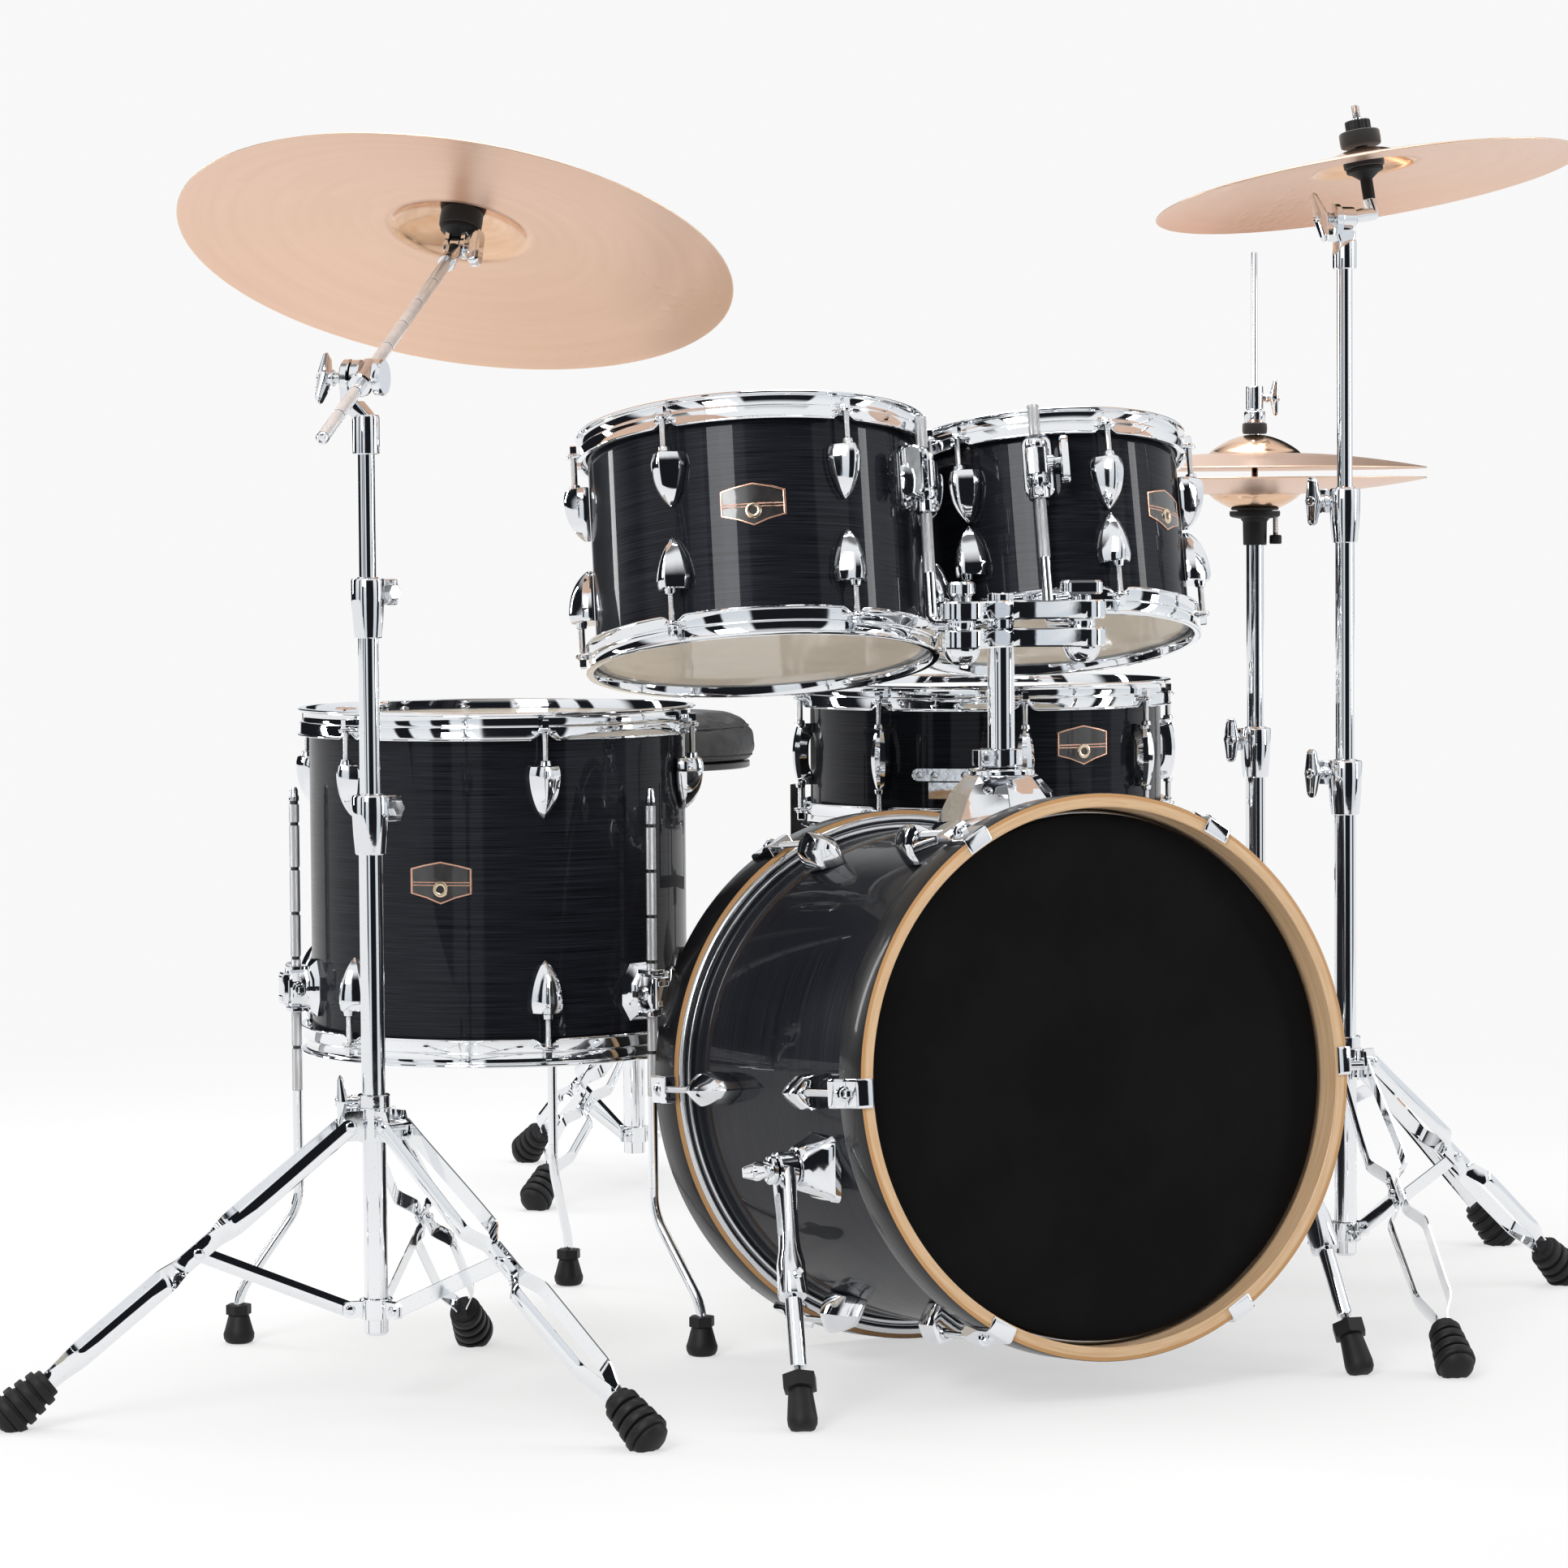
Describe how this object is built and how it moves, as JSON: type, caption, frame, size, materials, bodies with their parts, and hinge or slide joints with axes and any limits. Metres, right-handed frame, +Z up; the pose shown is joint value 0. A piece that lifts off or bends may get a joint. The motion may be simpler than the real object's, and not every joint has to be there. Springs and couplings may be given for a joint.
{
  "type": "acoustic drum kit",
  "caption": "Acoustic drum kit: bass drum with rack toms on a holder, floor tom, snare on a stand, boom and straight cymbal stands, hi-hat, pedal and round throne.",
  "frame": {"origin": "on the floor, at the middle of the footprint of the whole kit", "axes": "+Z up, +Y towards the drummer and the throne, +X towards the hi-hat"},
  "size_m": [1.7564, 1.8062, 1.1575],
  "materials": {
    "chrome": "polished chrome plate on steel",
    "lacquer": "gloss black finish over wood, with fine brushed lines",
    "maple": "clear lacquered light wood",
    "film": "thin plastic drum head",
    "black_film": "black plastic drum head",
    "bronze": "lathed and hammered cymbal bronze",
    "rubber": "moulded black rubber",
    "black_steel": "black coated steel",
    "seat": "black leather cloth over foam"
  },
  "bodies": {
    "kit": {"bass_shell": "lacquer", "bass_hoops": "maple", "bass_heads": "black_film", "bass_lugs": "chrome", "bass_claws": "chrome", "spur_brackets": "chrome", "holder_base": "chrome", "floor_tom_shell": "lacquer", "floor_tom_hoops": "chrome", "floor_tom_heads": "film", "floor_tom_lugs": "chrome", "floor_leg_brackets": "chrome", "snare_stand": "chrome", "ride_stand": "chrome", "crash_stand": "chrome", "hihat_stand": "chrome", "throne_base": "chrome", "kick_frame": "chrome", "stand_feet": "rubber"},
    "left_spur": {"left_spur": "chrome"},
    "right_spur": {"right_spur": "chrome"},
    "tom_holder": {"holder_post": "chrome"},
    "left_arm": {"left_tom_arm": "chrome"},
    "right_arm": {"right_tom_arm": "chrome"},
    "left_tom": {"left_tom_shell": "lacquer", "left_tom_hoops": "chrome", "left_tom_heads": "film", "left_tom_lugs": "chrome", "left_tom_bracket": "chrome"},
    "right_tom": {"right_tom_shell": "lacquer", "right_tom_hoops": "chrome", "right_tom_heads": "film", "right_tom_lugs": "chrome", "right_tom_bracket": "chrome"},
    "floor_leg_left": {"floor_leg_left": "chrome"},
    "floor_leg_front": {"floor_leg_front": "chrome"},
    "floor_leg_back": {"floor_leg_back": "chrome"},
    "snare": {"snare_shell": "lacquer", "snare_hoops": "chrome", "snare_heads": "film", "snare_lugs": "chrome", "snare_strainer": "chrome", "snare_basket": "black_steel"},
    "snare_lever": {"snare_lever": "chrome"},
    "ride_tube": {"ride_tube": "chrome"},
    "ride_clamp": {"ride_boom_clamp": "chrome"},
    "ride_boom": {"ride_boom": "chrome"},
    "ride_tilter": {"ride_tilter": "chrome"},
    "ride_cymbal": {"ride_cymbal": "bronze"},
    "crash_tube": {"crash_tube": "chrome"},
    "crash_tilter": {"crash_tilter": "chrome"},
    "crash_cymbal": {"crash_cymbal": "bronze"},
    "hihat_tube": {"hihat_tube": "chrome", "hihat_bottom_cymbal": "bronze"},
    "hihat_rod": {"hihat_rod": "chrome", "hihat_top_cymbal": "bronze"},
    "hihat_pedal": {"hihat_pedal": "chrome"},
    "throne_seat": {"throne_seat": "seat"},
    "kick_footboard": {"kick_footboard": "chrome"},
    "kick_beater": {"kick_beater": "chrome"}
  },
  "joints": [
    {"name": "left_spur_fold", "type": "hinge", "parent": "kit", "child": "left_spur", "pos_m": [-0.22908, -0.70316, 0.205], "axis": [1, 0, 0], "range_deg": [-75, 0]},
    {"name": "right_spur_fold", "type": "hinge", "parent": "kit", "child": "right_spur", "pos_m": [0.29492, -0.70316, 0.205], "axis": [1, 0, 0], "range_deg": [-75, 0]},
    {"name": "tom_holder_height", "type": "slide", "parent": "kit", "child": "tom_holder", "axis": [0, 0, 1], "range_m": [0, 0.03]},
    {"name": "left_arm_tilt", "type": "hinge", "parent": "tom_holder", "child": "left_arm", "pos_m": [-0.02908, -0.66816, 0.673], "axis": [0.9661, -0.2583, 0], "range_deg": [0, 3]},
    {"name": "right_arm_tilt", "type": "hinge", "parent": "tom_holder", "child": "right_arm", "pos_m": [0.09492, -0.66816, 0.673], "axis": [0.9664, -0.2571, 0], "range_deg": [-2, 5]},
    {"name": "left_tom_swivel", "type": "hinge", "parent": "left_arm", "child": "left_tom", "pos_m": [-0.00208, -0.56716, 0.671], "axis": [0.0547, 0.2041, 0.9774], "range_deg": [0, 15]},
    {"name": "right_tom_swivel", "type": "hinge", "parent": "right_arm", "child": "right_tom", "pos_m": [0.12192, -0.56666, 0.671], "axis": [0.0544, 0.2357, 0.9703], "range_deg": [-15, 0]},
    {"name": "floor_leg_left_height", "type": "slide", "parent": "kit", "child": "floor_leg_left", "axis": [0, 0, 1], "range_m": [0, 0.12]},
    {"name": "floor_leg_front_height", "type": "slide", "parent": "kit", "child": "floor_leg_front", "axis": [0, 0, 1], "range_m": [0, 0.04]},
    {"name": "floor_leg_back_height", "type": "slide", "parent": "kit", "child": "floor_leg_back", "axis": [0, 0, 1], "range_m": [0, 0.12]},
    {"name": "snare_height", "type": "slide", "parent": "kit", "child": "snare", "axis": [0, 0, 1], "range_m": [-0.05, 0]},
    {"name": "strainer_lever", "type": "hinge", "parent": "snare", "child": "snare_lever", "pos_m": [0.42158, 0.00713, 0.5355], "axis": [-0.7604, 0.6494, 0], "range_deg": [0, 60]},
    {"name": "ride_stand_height", "type": "slide", "parent": "kit", "child": "ride_tube", "axis": [0, 0, 1], "range_m": [0, 0.15]},
    {"name": "ride_boom_angle", "type": "hinge", "parent": "ride_tube", "child": "ride_clamp", "pos_m": [-0.54208, -0.53616, 0.892], "axis": [0.7337, -0.6794, 0], "range_deg": [0, 20]},
    {"name": "ride_boom_reach", "type": "slide", "parent": "ride_clamp", "child": "ride_boom", "axis": [0.6065, 0.6534, 0.4531], "range_m": [-0.02, 0.06]},
    {"name": "ride_tilt", "type": "hinge", "parent": "ride_boom", "child": "ride_tilter", "pos_m": [-0.37687, -0.35816, 1.01542], "axis": [0.6691, -0.7431, 0], "range_deg": [-4, 12]},
    {"name": "ride_cymbal_sway", "type": "hinge", "parent": "ride_tilter", "child": "ride_cymbal", "pos_m": [-0.36628, -0.34863, 1.05087], "axis": [0.6691, -0.7431, 0], "range_deg": [-3, 3], "stiffness_Nm_per_rad": 25},
    {"name": "crash_stand_height", "type": "slide", "parent": "kit", "child": "crash_tube", "axis": [0, 0, 1], "range_m": [-0.05, 0.12]},
    {"name": "crash_tilt", "type": "hinge", "parent": "crash_tube", "child": "crash_tilter", "pos_m": [0.44092, -0.57616, 1.048], "axis": [1, 0, 0], "range_deg": [-12, 12]},
    {"name": "crash_cymbal_sway", "type": "hinge", "parent": "crash_tilter", "child": "crash_cymbal", "pos_m": [0.47709, -0.55161, 1.11566], "axis": [0.891, 0.454, 0], "range_deg": [-6, 6], "stiffness_Nm_per_rad": 15},
    {"name": "hihat_tube_height", "type": "slide", "parent": "kit", "child": "hihat_tube", "axis": [0, 0, 1], "range_m": [-0.06, 0]},
    {"name": "hihat_rod_pull", "type": "slide", "parent": "kit", "child": "hihat_rod", "axis": [0, 0, 1], "range_m": [-0.0085, 0], "stiffness_N_per_m": 800, "springref_m": 0.045},
    {"name": "hihat_pedal_press", "type": "hinge", "parent": "kit", "child": "hihat_pedal", "pos_m": [0.52513, 0.12132, 0.026], "axis": [-0.9455, -0.3256, 0], "range_deg": [-2.1, 0.2]},
    {"name": "throne_seat_spin", "type": "hinge", "parent": "kit", "child": "throne_seat", "pos_m": [0.27592, 0.64384, 0.4], "axis": [0, 0, 1], "continuous": true},
    {"name": "kick_footboard_press", "type": "hinge", "parent": "kit", "child": "kick_footboard", "pos_m": [0.07292, -0.15616, 0.022], "axis": [1, 0, 0], "range_deg": [0, 11]},
    {"name": "kick_beater_swing", "type": "hinge", "parent": "kit", "child": "kick_beater", "pos_m": [0.07292, -0.40591, 0.218], "axis": [1, 0, 0], "range_deg": [-1, 41], "stiffness_Nm_per_rad": 0.6, "springref_deg": -68.75}
  ],
  "couplings": [
    {"joint": "kick_beater_swing", "follows": "kick_footboard_press", "ratio": 3.7},
    {"joint": "hihat_pedal_press", "follows": "hihat_rod_pull", "rad_per_m": 3.9841}
  ]
}
